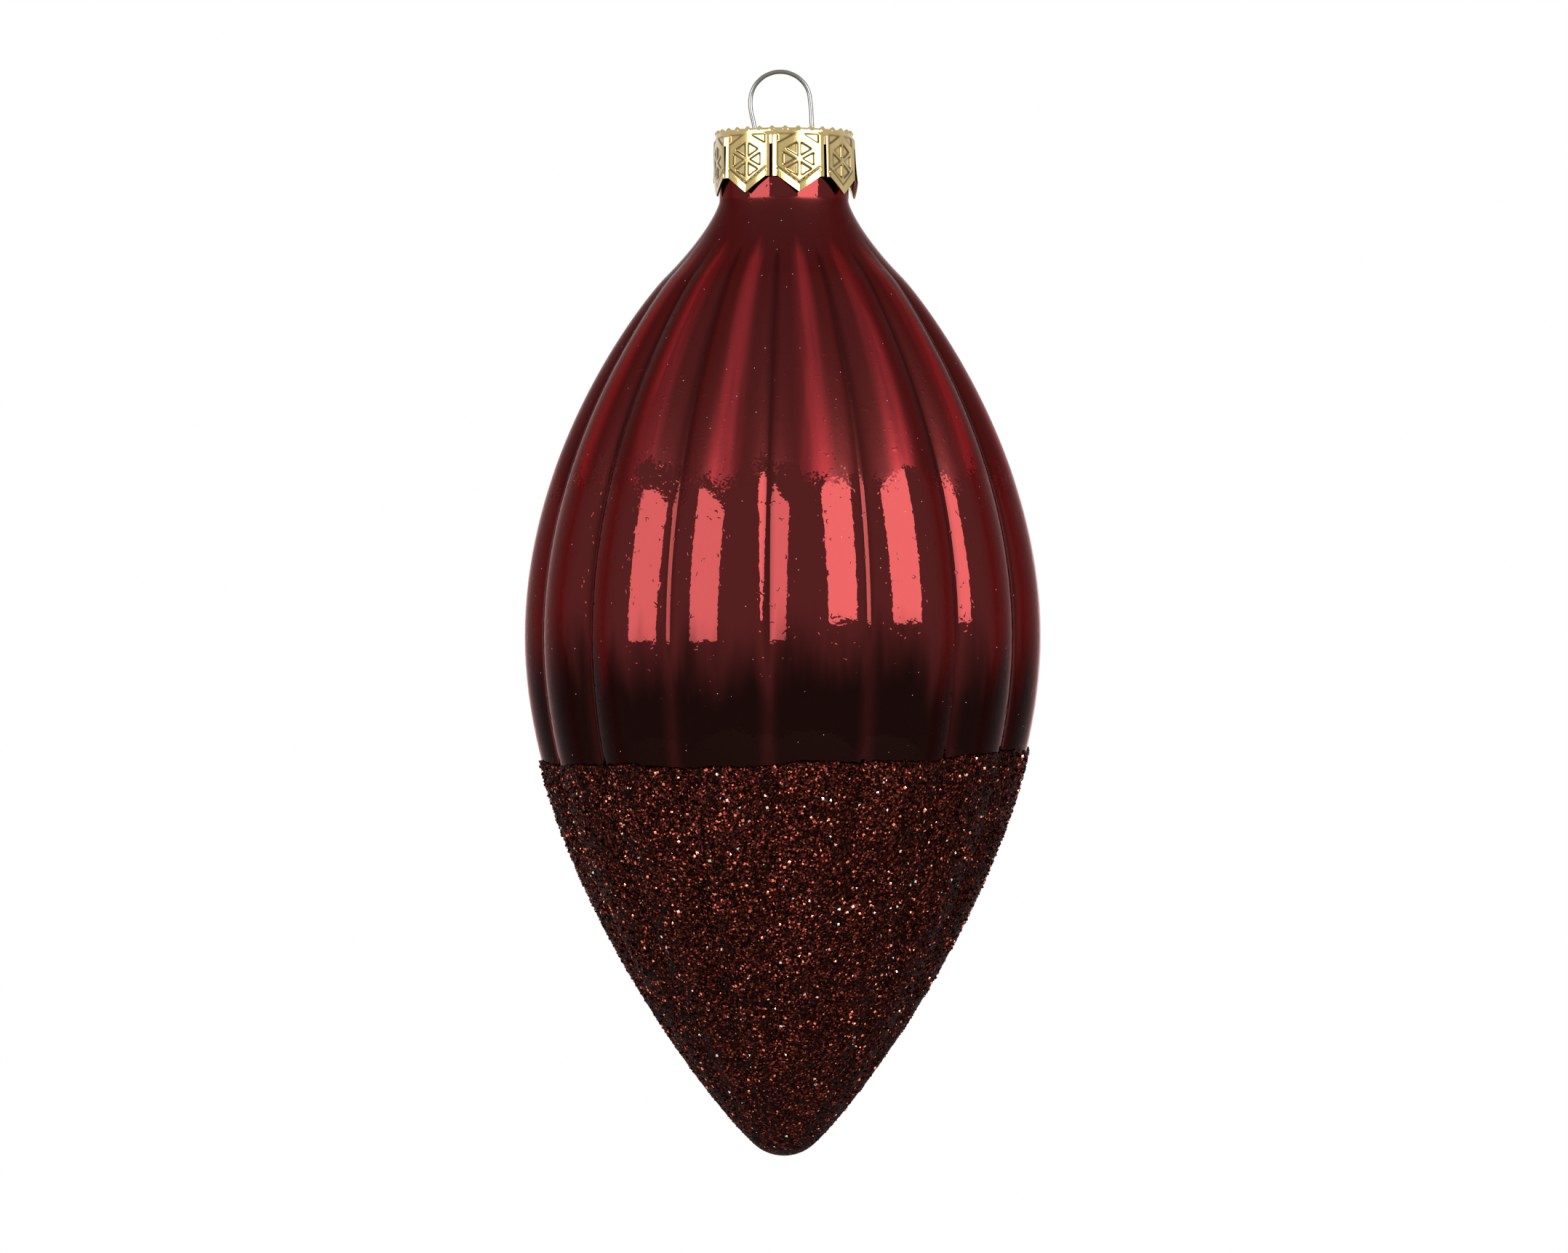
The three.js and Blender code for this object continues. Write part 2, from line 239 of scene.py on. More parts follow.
def azimuth_of(point):
    """The azimuth of a point: 0 at the front, growing towards +X."""
    return math.atan2(point.x, -point.y)


def around(radius, azimuth, height):
    """The point at a radius, azimuth and height."""
    return Vector((radius * math.sin(azimuth), -radius * math.cos(azimuth), height))


def turn_profile(profile, steps, start):
    """A chain of (radius, height) points turned once round the axis, with its seam closed."""
    mesh = bmesh.new()
    points = [mesh.verts.new(around(radius, start, height)) for radius, height in profile]
    edges = [mesh.edges.new(pair) for pair in zip(points, points[1:])]
    bmesh.ops.spin(
        mesh, geom=points + edges, cent=(0, 0, 0), axis=(0, 0, 1), dvec=(0, 0, 0),
        angle=math.tau, steps=steps, use_merge=True, use_duplicate=False,
    )
    bmesh.ops.remove_doubles(mesh, verts=mesh.verts, dist=WELD)
    return mesh


def turn_in_lobes(bulb, profile, steps_per_lobe):
    """A profile turned with whole steps in every lobe, from one valley round to itself."""
    valley = bulb.lobe_azimuth + math.pi / bulb.lobe_count
    return turn_profile(profile, bulb.lobe_count * steps_per_lobe, valley)


def weld(mesh):
    """Merges doubled points, then turns every face outwards."""
    bmesh.ops.remove_doubles(mesh, verts=mesh.verts, dist=WELD)
    bmesh.ops.recalc_face_normals(mesh, faces=mesh.faces)


def sharpen(data):
    """Keeps the edges between faces at a wide angle crisp."""
    data.set_sharp_from_angle(angle=math.radians(35))


def applied(context, item):
    """The mesh of an object with its modifiers, or of a curve with its bevel."""
    context.view_layer.update()
    return bpy.data.meshes.new_from_object(item.evaluated_get(context.evaluated_depsgraph_get()))


def add_object(name, data):
    """A new object in the scene."""
    item = bpy.data.objects.new(name, data)
    bpy.context.scene.collection.objects.link(item)
    return item


def mesh_object(mesh, name, materials):
    """Turns a bmesh into an object in the scene."""
    data = bpy.data.meshes.new(name)
    mesh.to_mesh(data)
    mesh.free()
    for material in materials:
        data.materials.append(material)
    return add_object(name, data)


def finish_piece(mesh, name, materials, body, node, closed=True):
    """Turns a bmesh into a smooth object that stands for a CAD node and rides on its body."""
    if closed and not all(edge.is_manifold for edge in mesh.edges):
        raise RuntimeError(f"{name} isn't a closed surface")
    piece = mesh_object(mesh, name, materials)
    piece.data.shade_smooth()
    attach(piece, body)
    if node:
        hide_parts(node)
    return piece


def bulb_outline(bulb, rings):
    """The outline from the neck rim down to the tip, as (radius, height) points, with its rings
    for the neck, the shoulder, above the belly, under the belly and the tip."""
    neck_rings, shoulder_rings, upper_rings, lower_rings, tip_rings = rings
    rim = GLASS_HIGH.z
    crease = Vector((bulb.neck_radius, rim - bulb.neck_length))
    shoulder = Vector((bulb.shoulder_radius, rim - bulb.shoulder_depth))
    shoulder_slope = math.radians(45)
    belly = Vector((bulb.radius, rim - bulb.belly_depth))
    tip_centre = GLASS_LOW.z + bulb.tip_radius
    tip_slope = math.radians(48)
    tip_start = Vector((
        bulb.tip_radius * math.cos(tip_slope), tip_centre - bulb.tip_radius * math.sin(tip_slope),
    ))
    points = [(bulb.neck_radius, rim - bulb.neck_length * i / neck_rings) for i in range(neck_rings)]
    for start, start_slope, end, end_slope, handles, count in (
        (crease, 0, shoulder, shoulder_slope, (0.05, 0.8), shoulder_rings),
        (shoulder, shoulder_slope, belly, 0, (0.063, 0.535), upper_rings),
        (belly, 0, tip_start, -tip_slope, (0.442, 0.123), lower_rings),
    ):
        points += outline_curve(start, start_slope, end, end_slope, handles, count)
    for i in range(tip_rings + 1):
        turn = tip_slope + (math.pi / 2 - tip_slope) * i / tip_rings
        radius = bulb.tip_radius * math.cos(turn) if i < tip_rings else 0.0
        points.append((radius, tip_centre - bulb.tip_radius * math.sin(turn)))
    return points


def outline_curve(start, start_slope, end, end_slope, handles, rings):
    """One curve of the outline, which leaves and arrives at given slopes from the vertical. Its
    handles are shares of its height."""
    height = start.y - end.y
    leave = Vector((math.sin(start_slope), -math.cos(start_slope))) * height * handles[0]
    arrive = Vector((math.sin(end_slope), -math.cos(end_slope))) * height * handles[1]
    curve = geometry.interpolate_bezier(start, start + leave, end - arrive, end, rings + 1)
    return [tuple(point)[:2] for point in curve[:-1]]


def moved_out(outline, distance):
    """An outline moved along its own normals, outwards for a positive distance."""
    points = [Vector(point) for point in outline]
    moved = []
    for i, point in enumerate(points):
        before = points[max(i - 1, 0)]
        after = points[min(i + 1, len(points) - 1)]
        along = (after - before).normalized()
        radius = point.x - along.y * distance
        moved.append((max(radius, 0.0) if point.x > 0 else 0.0, point.y + along.x * distance))
    return moved


def across_lobe(bulb, azimuth):
    """How far across a lobe an azimuth lies: 0 at the crest, 1 in the valley."""
    return 2 * abs(place_in_pattern(azimuth, bulb.lobe_count, bulb.lobe_azimuth))


def lobe_strength(bulb, height):
    """How far the lobes are out at a height: they rise under the neck and fade at the tip."""
    start = GLASS_HIGH.z - bulb.lobe_start
    rise = 1 - smooth(start - bulb.lobe_rise, start, height)
    return rise * smooth(GLASS_LOW.z, GLASS_LOW.z + bulb.lobe_fade, height)


def lobe_drop(bulb, radius, azimuth, height):
    """How far the glass lies inside the lobes' crests: round lobes with filleted valleys."""
    across = across_lobe(bulb, azimuth)
    flank = 1 - bulb.valley_share
    if across < flank:
        shape = across * across
    else:
        shape = flank - flank / bulb.valley_share * (1 - across) ** 2
    return bulb.lobe_depth * radius / bulb.radius * shape * lobe_strength(bulb, height)


def table_of(outline):
    """The radii and the rising heights of an outline that runs downwards."""
    return np.array(outline[::-1]).T


def radius_at(table, height):
    """The radius at a height."""
    radii, heights = table
    return float(np.interp(height, heights, radii))


def opaque(rgb):
    """A linear colour with full alpha."""
    return (*rgb, 1.0)


def add_node(tree, kind, inputs=None, stops=(), **settings):
    """Adds a shader node with its settings, its inputs and, for a colour ramp, its stops in
    rising order. An input is a value, a socket, or a node that is linked by its first output."""
    node = tree.nodes.new("ShaderNode" + kind)
    for name, value in settings.items():
        setattr(node, name, value)
    for socket, source in (inputs or {}).items():
        if isinstance(source, bpy.types.Node):
            source = next(output for output in source.outputs if output.enabled)
        if isinstance(source, bpy.types.NodeSocket):
            tree.links.new(source, node.inputs[socket])
        else:
            node.inputs[socket].default_value = source
    for place, (position, rgb) in enumerate(stops):
        elements = node.color_ramp.elements
        element = elements[place] if place < len(elements) else elements.new(position)
        element.position = position
        element.color = opaque(rgb)
    return node


def node_adder(owner):
    """Clears the node tree of a material or a world, and gives the function that adds to it."""
    owner.use_nodes = True
    owner.node_tree.nodes.clear()
    return partial(add_node, owner.node_tree)


def material_of(shade, *settings):
    """The material that one of the functions below describes, under that function's name."""
    material = bpy.data.materials.new(shade.__name__)
    add = node_adder(material)
    add("OutputMaterial", {"Surface": shade(add, *settings)})
    return material


def lacquered_glass(add, finishes, bulb):
    """Soda glass silvered inside and dipped in burgundy lacquer: a mirror seen through clear
    dark red, which turns lamps salmon and a white room burgundy. Between the neck and the
    blotchy edge of the bright silvering the mirror is a duller satin, with lighter streaks on the
    lobes' crests, a painted highlight, and darker valleys, painted shade. The bright mirror's
    valleys get painted shade lines. Under the belly the lacquer darkens in tongues, a lacquer
    run that is also painted dark reflection, kept lighter in the valleys as painted reflection.
    A few specks of dust lie on it."""
    place = add("TexCoord").outputs["Object"]
    height = add("SeparateXYZ", {"Vector": place}).outputs["Z"]
    satin = satin_silvering(add, bulb, place, height)
    roughness = add("MapRange", {"Value": satin, "To Min": 0.03, "To Max": 0.38})
    tint = lacquer_tint(add, finishes, bulb, place, height, satin)
    dust_spacing, dust_radius = 1.8 * MM, 0.06 * MM
    nearest = add("TexVoronoi", {"Vector": place, "Scale": 1 / dust_spacing})
    clean = add("Math", {0: nearest, 1: dust_radius / dust_spacing}, operation="GREATER_THAN")
    dusted = add("Mix", {"Factor": clean, "A": opaque(finishes.dust), "B": tint}, data_type="RGBA")
    bump = blown_surface(add, place)
    return add("BsdfPrincipled", {
        "Base Color": dusted, "Roughness": roughness, "Metallic": clean,
        "Specular Tint": opaque(finishes.lacquer_edge), "Normal": bump, "Coat Normal": bump,
        "Coat Weight": 0.9, "Coat Roughness": 0.015, "Coat IOR": 1.06,
    })


def satin_silvering(add, bulb, place, height):
    """1 where the mirror behind the lacquer is satin: from the crease under the neck down to
    the bright silvering, whose edge wanders in blotches and specks."""
    blotch_size, blotch_reach = 7 * MM, 22 * MM
    speck_size, speck_reach = 0.35 * MM, 10 * MM
    blotches = add("TexNoise", {
        "Vector": place, "Scale": 1 / blotch_size, "Detail": 4.0, "Roughness": 0.6,
    })
    specks = add("TexNoise", {"Vector": place, "Scale": 1 / speck_size, "Detail": 1.0})
    wandering = add("Math", {0: blotches, 1: blotch_reach, 2: height}, operation="MULTIPLY_ADD")
    edge = add("Math", {0: specks, 1: speck_reach, 2: wandering}, operation="MULTIPLY_ADD")
    bright_edge, bright_blend = -54.7 * MM, 0.8 * MM
    bright_end = bright_edge + (blotch_reach + speck_reach) / 2
    dull = add("MapRange", {
        "Value": edge, "From Min": bright_end - bright_blend, "From Max": bright_end + bright_blend,
    }, interpolation_type="SMOOTHSTEP")
    crease = GLASS_HIGH.z - bulb.neck_length
    blend_under, blend_over = 0.3 * MM, 0.1 * MM
    return add("MapRange", {
        "Value": height, "From Min": crease - blend_under, "From Max": crease + blend_over,
        "To Min": dull, "To Max": 0.0,
    })


def lacquer_tint(add, finishes, bulb, place, height, satin):
    """The colour that the lacquer gives the mirror. The satin gets lighter streaks on its crests,
    a painted highlight, and darker valleys, painted shade; the bright mirror's valleys get
    painted shade lines. Under the belly it darkens in tongues, a lacquer run that is also
    painted dark reflection, kept lighter in the valleys as painted reflection."""
    streak_width, streak_length = 3 * MM, 21.37 * MM
    level = add("VectorMath", {0: place, 1: (1.0, 1.0, 0.0)}, operation="MULTIPLY")
    spoke = add("VectorMath", {0: level}, operation="NORMALIZE")
    drawn_down = add("VectorMath", {
        0: place, 1: (0.0, 0.0, streak_width / streak_length / bulb.radius), 2: spoke,
    }, operation="MULTIPLY_ADD")
    # Streaky noise drawn down the bulb. It wanders the edge of the darker run under the belly, which is
    # also painted dark reflection, and breaks the painted highlight on the satin crests into streaks.
    runs = add("TexNoise", {"Vector": drawn_down, "Scale": bulb.radius / streak_width, "Detail": 2.0})
    # The darker run under the belly: a lacquer run, and also painted dark reflection.
    run_shade_reach, run_shade_blend = 14 * MM, 12 * MM
    run_shade_place = add("Math", {0: runs, 1: run_shade_reach, 2: height}, operation="MULTIPLY_ADD")
    run_shade_edge = -72.5 * MM
    run_shade_start = run_shade_edge + run_shade_reach / 2
    run_shade_mask = add("MapRange", {
        "Value": run_shade_place, "From Min": run_shade_start - run_shade_blend, "From Max": run_shade_start,
        "To Min": 1.0, "To Max": 0.0,
    }, interpolation_type="SMOOTHSTEP")
    across = add("Attribute", attribute_name=ACROSS).outputs["Fac"]
    valley = add("MapRange", {"Value": across, "From Min": 0.74}, interpolation_type="SMOOTHSTEP")
    # Painted shade lines along the bright mirror's valleys.
    valley_line_shade = add("MapRange", {
        "Value": across, "From Min": 0.84, "To Max": 0.4,
    }, interpolation_type="SMOOTHSTEP")
    crest = add("MapRange", {
        "Value": across, "From Min": 0.05, "From Max": 0.5, "To Min": 1.0, "To Max": 0.0,
    }, interpolation_type="SMOOTHSTEP")
    streaks = add("MapRange", {
        "Value": runs, "From Min": 0.36, "From Max": 0.62, "To Min": 0.4,
    }, interpolation_type="SMOOTHSTEP")
    valley_lightening, valley_shade_share = 0.2, 0.55
    # Painted reflection: the darker run is kept lighter in the valleys.
    thin = add("Math", {0: valley, 1: -valley_lightening, 2: 1.0}, operation="MULTIPLY_ADD")
    run_shade_depth = add("Math", {0: run_shade_mask, 1: thin}, operation="MULTIPLY")
    # The bright mirror takes the greater of the darker run and the valleys' painted shade lines.
    depth = add("Math", {0: run_shade_depth, 1: valley_line_shade}, operation="MAXIMUM")
    # Painted shade in the satin's valleys.
    valley_shade = add("Math", {0: valley, 1: valley_shade_share}, operation="MULTIPLY")
    # Painted highlight: lighter streaks on the satin's crests.
    crest_highlight = add("Math", {0: crest, 1: streaks}, operation="MULTIPLY")
    # The one dark colour of the lacquer run, which is also painted dark reflection, and of the painted
    # shade in the valleys.
    deep = opaque(finishes.lacquer_run_and_shade)
    over_mirror = add("Mix", {
        "Factor": depth, "A": opaque(finishes.lacquer), "B": deep,
    }, data_type="RGBA")
    on_lobes = add("Mix", {
        "Factor": crest_highlight,
        "A": opaque(finishes.lacquer_satin), "B": opaque(finishes.satin_painted_highlight),
    }, data_type="RGBA")
    over_satin = add("Mix", {"Factor": valley_shade, "A": on_lobes, "B": deep}, data_type="RGBA")
    return add("Mix", {"Factor": satin, "A": over_mirror, "B": over_satin}, data_type="RGBA")


def blown_surface(add, place):
    """The faint ripples of blown glass, with a few pits in the lacquer."""
    ripple_size, pit_size, pit_height = 2.5 * MM, 0.9 * MM, 0.7
    ripples = add("TexNoise", {
        "Vector": place, "Scale": 1 / ripple_size, "Detail": 3.0, "Roughness": 0.55,
    })
    grit = add("TexNoise", {"Vector": place, "Scale": 1 / pit_size, "Detail": 1.0})
    pits = add("MapRange", {
        "Value": grit, "From Min": 0.65, "From Max": 0.77, "To Max": pit_height,
    }, interpolation_type="SMOOTHSTEP")
    surface = add("Math", {0: ripples, 1: pits}, operation="ADD")
    return add("Bump", {"Height": surface, "Distance": 0.026 * MM})


def silvering(add):
    """The chemical silvering on the inside of the glass, seen only through the open neck: a
    grey mirror, clouded where the solution ran out."""
    place = add("TexCoord").outputs["Object"]
    cloud_size = 6 * MM
    clouds = add("TexNoise", {"Vector": place, "Scale": 1 / cloud_size, "Detail": 5.0})
    tint = add("ValToRGB", {"Fac": clouds}, stops=(
        (0.3, linear("#8A8988")), (0.7, linear("#D6D5D2")),
    ))
    roughness = add("MapRange", {
        "Value": clouds, "From Min": 0.3, "From Max": 0.7, "To Min": 0.35, "To Max": 0.12,
    })
    return add("BsdfPrincipled", {"Base Color": tint, "Metallic": 1.0, "Roughness": roughness})


def glitter_bed(add, finishes):
    """Polyester glitter pressed into clear glue over the burgundy glass: each grain a tiny
    tilted copper-red mirror. Most cells are coloured dark, the glue between grains and painted
    shade on grains turned from the light, and a few a brighter copper."""
    place = add("TexCoord").outputs["Object"]
    grain = 0.22 * MM
    cells = add("TexVoronoi", {"Vector": place, "Scale": 1 / grain}).outputs["Color"]
    tone = add("SeparateColor", {"Color": cells})
    # The dark share is the glue between grains and painted shade on grains turned from the light.
    tint = add("ValToRGB", {"Fac": tone}, stops=(
        (0.0, finishes.glitter_dark), (0.62, finishes.glitter_dark),
        (0.9, finishes.glitter_red), (1.0, finishes.glitter_copper),
    ))
    tilt = add("VectorMath", {0: cells, 1: (0.5, 0.5, 0.5)}, operation="SUBTRACT")
    lean = add("VectorMath", {0: tilt, "Scale": GRAIN_LEAN}, operation="SCALE")
    surface = add("NewGeometry").outputs["Normal"]
    facet = add("VectorMath", {0: surface, 1: lean}, operation="ADD")
    facing = add("VectorMath", {0: facet}, operation="NORMALIZE")
    return add("BsdfPrincipled", {
        "Base Color": tint, "Roughness": 0.32, "Metallic": 0.85,
        "Specular Tint": opaque(finishes.glitter_red), "Normal": facing,
    })


def glitter_grains(add, finishes):
    """The loose grains on top of the bed: the same metallised film, cut to flakes that lie at
    all angles, coloured by tone: the dark ones are painted shade, and the flash, white, pale
    blue and odd green ones among the red and copper are painted glints."""
    tone = add("Attribute", attribute_name=TONE).outputs["Fac"]
    # Painted shade for the dark grains, painted glints for the flash, white, blue and green ones.
    tint = add("ValToRGB", {"Fac": tone}, stops=(
        (0.0, finishes.glitter_dark), (0.58, finishes.glitter_dark),
        (0.8, finishes.glitter_red), (0.86, finishes.glitter_copper),
        (0.89, finishes.glitter_painted_glint), (0.97, finishes.glitter_painted_glint),
        (0.985, linear("#F6D0C4")), (0.998, linear("#D3E2EA")), (1.0, linear("#A8D39A")),
    ))
    return add("BsdfPrincipled", {
        "Base Color": tint, "Roughness": 0.15, "Metallic": 1.0,
        "Specular Tint": opaque(finishes.glitter_copper),
    })


def gilt_plating(add, finishes):
    """Tinplate stamped to shape and plated pale gold: a bright, slightly drawn mirror, browner
    along the stamping's recesses, which is painted shade, with faint drawing marks down the skirt."""
    place = add("TexCoord").outputs["Object"]
    stain_size, mark_width, mark_length = 2.2 * MM, 0.12 * MM, 1.5 * MM
    stains = add("TexNoise", {"Vector": place, "Scale": 1 / stain_size, "Detail": 4.0})
    drawn = add("Mapping", {"Vector": place, "Scale": (1, 1, mark_width / mark_length)})
    marks = add("TexNoise", {"Vector": drawn, "Scale": 1 / mark_width, "Detail": 2.0})
    plating = add("ValToRGB", {"Fac": stains}, stops=(
        (0.3, finishes.gilt_shade), (0.7, finishes.gilt),
    ))
    # Painted shade along the stamping's recesses darkens the plating.
    recess = add("Attribute", attribute_name=RECESS).outputs["Fac"]
    tint = add("Mix", {
        "Factor": recess, "A": plating, "B": opaque(finishes.relief_shade),
    }, data_type="RGBA")
    bump = add("Bump", {"Height": marks, "Distance": 0.003 * MM})
    roughness = add("MapRange", {
        "Value": stains, "From Min": 0.3, "From Max": 0.7, "To Min": 0.16, "To Max": 0.09,
    })
    return add("BsdfPrincipled", {
        "Base Color": tint, "Metallic": 1.0, "Roughness": roughness, "Normal": bump,
    })


def drawn_wire(add, finishes):
    """Hard-drawn tinned spring wire: a bright round mirror with fine die marks."""
    place = add("TexCoord").outputs["Object"]
    mark_size = 0.4 * MM
    marks = add("TexNoise", {"Vector": place, "Scale": 1 / mark_size, "Detail": 3.0})
    bump = add("Bump", {"Height": marks, "Distance": 0.001 * MM})
    roughness = add("MapRange", {
        "Value": marks, "From Min": 0.3, "From Max": 0.7, "To Min": 0.15, "To Max": 0.25,
    })
    return add("BsdfPrincipled", {
        "Base Color": opaque(finishes.steel), "Metallic": 1.0,
        "Roughness": roughness, "Normal": bump,
    })


def pale_board(add):
    """Matt painted board: pale, even and without gloss, so that it keeps a soft shadow. To the
    eye it is lifted towards the white around it."""
    lift_strength = 0.35
    paint = add("BsdfDiffuse", {"Color": opaque(linear("#F4F3F1"))})
    lift = add("Math", {0: seen_directly(add), 1: lift_strength}, operation="MULTIPLY")
    glow = add("Emission", {"Color": WHITE, "Strength": lift})
    return add("AddShader", {0: paint, 1: glow})


def seen_directly(add):
    """1 for what the camera sees, also in a reflection or through glass, and 0 for light."""
    path = add("LightPath").outputs
    mirrored = add("Math", {
        0: path["Is Glossy Ray"], 1: path["Is Transmission Ray"],
    }, operation="MAXIMUM")
    return add("Math", {0: path["Is Camera Ray"], 1: mirrored}, operation="MAXIMUM")


class BAUBLE_OT_glass_bulb(bpy.types.Operator):
    """Blow the fluted olive, with its open neck and hollow inside"""

    bl_idname = "bauble.glass_bulb"
    bl_label = "Glass bulb"

    def execute(self, context):
        bulb = context.scene.bauble_bulb
        outside = bulb_outline(bulb, rings=(6, 20, 40, 48, 8))
        plain = bulb_outline(bulb, rings=(2, 8, 12, 14, 4))
        rim = outside[0][1]
        neck_end = rim - bulb.neck_length
        inside = [point for point in moved_out(plain, -bulb.wall) if point[1] < neck_end]
        bore = bulb.neck_radius - bulb.neck_wall
        rounding = bulb.neck_wall / 4
        mouth = [
            (bulb.neck_radius, rim - rounding), (bulb.neck_radius - rounding, rim),
            (bore + rounding, rim), (bore, rim - rounding), (bore, neck_end),
        ]
        profile = list(reversed(outside[1:])) + mouth + inside
        mesh = turn_in_lobes(bulb, profile, steps_per_lobe=32)
        self.press_lobes(mesh, bulb)
        bmesh.ops.recalc_face_normals(mesh, faces=mesh.faces)
        for face in mesh.faces:
            middle = face.calc_center_median()
            inward = face.normal.x * middle.x + face.normal.y * middle.y < 0
            face.material_index = int(inward)
        finishes = context.scene.bauble_finishes
        materials = [material_of(lacquered_glass, finishes, bulb), material_of(silvering)]
        finish_piece(mesh, "fluted_olive", materials, "bulb", "glass_bulb")
        return {"FINISHED"}

    def press_lobes(self, mesh, bulb):
        """Presses the lobes' valleys into the turned shape, and notes for the lacquer how far
        across its lobe each point lies. Where the lobes are faint, that comes close to the
        value of a plain flank, which is neither crest nor valley."""
        across = mesh.verts.layers.float.new(ACROSS)
        flank = 0.6
        lead = 3.0
        for vert in mesh.verts:
            azimuth = azimuth_of(vert.co)
            aside = across_lobe(bulb, azimuth) - flank
            vert[across] = flank + aside * min(1.0, lead * lobe_strength(bulb, vert.co.z))
            radius = math.hypot(vert.co.x, vert.co.y)
            if radius > 0:
                drop = lobe_drop(bulb, radius, azimuth, vert.co.z)
                vert.co.xy *= (radius - drop) / radius


def coat_edge(glitter, azimuth, top):
    """The height of the glitter's upper edge, which leans and ripples around the bulb."""
    front_share = 0.65
    ripples, ripple_turn, fine_ripples = 7, 0.6, 17
    lean = math.sin(azimuth) - front_share * math.cos(azimuth)
    ripple = math.sin(ripples * azimuth + ripple_turn) + math.sin(fine_ripples * azimuth) / 2
    return top + glitter.edge_wander * lean + EDGE_RIPPLE * ripple


def coat_surface(bulb, table, azimuth, height, offset):
    """The point on the coat at an azimuth and height, an offset out from the glass."""
    radius = radius_at(table, height) + offset
    return around(radius - lobe_drop(bulb, radius, azimuth, height), azimuth, height)


class BAUBLE_OT_glitter_coat(bpy.types.Operator):
    """Lay the glitter film over the lower part and strew its loose grains"""

    bl_idname = "bauble.glitter_coat"
    bl_label = "Glitter coat"

    def execute(self, context):
        bulb = context.scene.bauble_bulb
        glitter = context.scene.bauble_glitter
        finishes = context.scene.bauble_finishes
        outline = bulb_outline(bulb, rings=(1, 4, 12, 130, 14))
        table = table_of(outline)
        top = outline[0][1] - glitter.depth
        film = self.lay_film(bulb, glitter, outline, table, top)
        bed = material_of(glitter_bed, finishes)
        finish_piece(film, "glitter_film", [bed], "bulb", "glitter_coat")
        placements, tones = self.strew_grains(bulb, glitter, table, top)
        if not placements:
            raise RuntimeError("no glitter grain fell on the coat")
        heap = heap_of_grains(placements, tones)
        flakes = material_of(glitter_grains, finishes)
        piece = finish_piece(heap, "loose_grains", [flakes], "bulb", None)
        piece.data.shade_flat()
        return {"FINISHED"}

    def lay_film(self, bulb, glitter, outline, table, top):
        """The film: a thin closed layer with a granular outside and a ragged upper edge."""
        coarse = bulb_outline(bulb, rings=(1, 2, 4, 14, 3))
        inside_top = top - 1 * MM
        outside = [p for p in moved_out(outline, glitter.lift + glitter.film) if p[1] < top]
        inside = [p for p in moved_out(coarse, glitter.lift) if p[1] < inside_top]
        edge = (radius_at(table, top) + glitter.lift, top)
        profile = list(reversed(outside)) + [edge] + inside
        mesh = turn_in_lobes(bulb, profile, steps_per_lobe=20)
        edge_reach, edge_share = 9 * MM, 0.99
        grit_height, grit_size = 0.07 * MM, 0.35 * MM
        ragged_height, ragged_size = 0.3 * MM, 0.8 * MM
        for vert in mesh.verts:
            azimuth = azimuth_of(vert.co)
            radius = math.hypot(vert.co.x, vert.co.y)
            if radius == 0:
                continue
            offset = radius - radius_at(table, vert.co.z)
            share = min(max((vert.co.z - top + edge_reach) / edge_reach, 0.0), 1.0)
            height = vert.co.z + share * (coat_edge(glitter, azimuth, top) - top)
            if offset > glitter.lift + glitter.film / 2:
                offset += grit_height * noise.noise(vert.co / grit_size)
            elif share > edge_share:
                height += ragged_height * noise.noise(vert.co / ragged_size)
            vert.co = coat_surface(bulb, table, azimuth, height, offset)
        bmesh.ops.recalc_face_normals(mesh, faces=mesh.faces)
        return mesh

    def strew_grains(self, bulb, glitter, table, top):
        """Where the loose flakes lie, strewn evenly and tilted at random, and their tones."""
        tip_gap, edge_room, edge_thinning = 0.02 * MM, 1.5 * MM, 0.4 * MM
        least_size, size_range, flatness = 0.6, 0.7, 0.3
        steepest = 5.0
        heights = np.linspace(table[1][0] + tip_gap, top + edge_room, 400)
        radii = np.array([radius_at(table, height) for height in heights])
        slopes = np.gradient(radii, heights)
        weights = radii * np.sqrt(1 + np.minimum(slopes ** 2, steepest ** 2))
        reach = np.cumsum(weights) / weights.sum()
        placements = []
        tones = []
        dice = np.random.default_rng(7)
        for side, rise, thinning, *slant, turn, size, tone in dice.random((glitter.grain_count, 9)):
            azimuth = math.tau * side - math.pi
            height = float(np.interp(rise, reach, heights))
            if height > coat_edge(glitter, azimuth, top) - edge_thinning * thinning:
                continue
            offset = glitter.lift + glitter.film + GRAIN_RISE * size
            middle = coat_surface(bulb, table, azimuth, height, offset)
            slope = float(np.interp(height, heights, slopes))
            normal = around(1, azimuth, -slope).normalized()
            lean = Vector([share - 0.5 for share in slant]) * GRAIN_LEAN
            facing = (normal + lean).normalized()
            tilt = facing.to_track_quat("Z", "Y").to_matrix().to_4x4()
            twist = Matrix.Rotation(math.tau * turn, 4, "Z")
            width = glitter.grain * (least_size + size_range * size)
            flatten = Matrix.Diagonal((width, width, width * flatness, 1.0))
            placements.append(Matrix.Translation(middle) @ tilt @ twist @ flatten)
            tones.append(tone)
        return placements, tones


